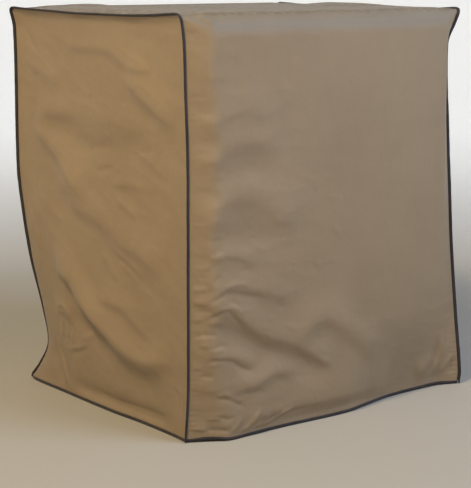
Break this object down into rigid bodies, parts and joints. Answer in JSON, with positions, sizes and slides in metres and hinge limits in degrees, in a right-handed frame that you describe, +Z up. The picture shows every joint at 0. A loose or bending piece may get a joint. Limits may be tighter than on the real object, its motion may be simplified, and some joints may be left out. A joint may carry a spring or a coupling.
{
  "type": "air conditioner cover",
  "caption": "Fitted hollow weather cover of coated cloth, open below, with dark tape bound over its raised seams and hem.",
  "frame": {"origin": "under the middle of the cover, level with the lower edge of its hem", "axes": "+Z up, -Y out of the front, +X to the right seen from the front"},
  "size_m": [0.9404, 0.8713, 1.041],
  "materials": {
    "cloth": "tan coated polyester cloth, soft satin sheen, fine plain weave",
    "tape": "near-black woven binding tape, matte, edge-stitched"
  },
  "bodies": {
    "root": {"wrap_panel": "cloth", "left_side_panel": "cloth", "right_side_panel": "cloth", "left_binding": "tape", "right_binding": "tape", "hem_binding": "tape"}
  },
  "joints": []
}
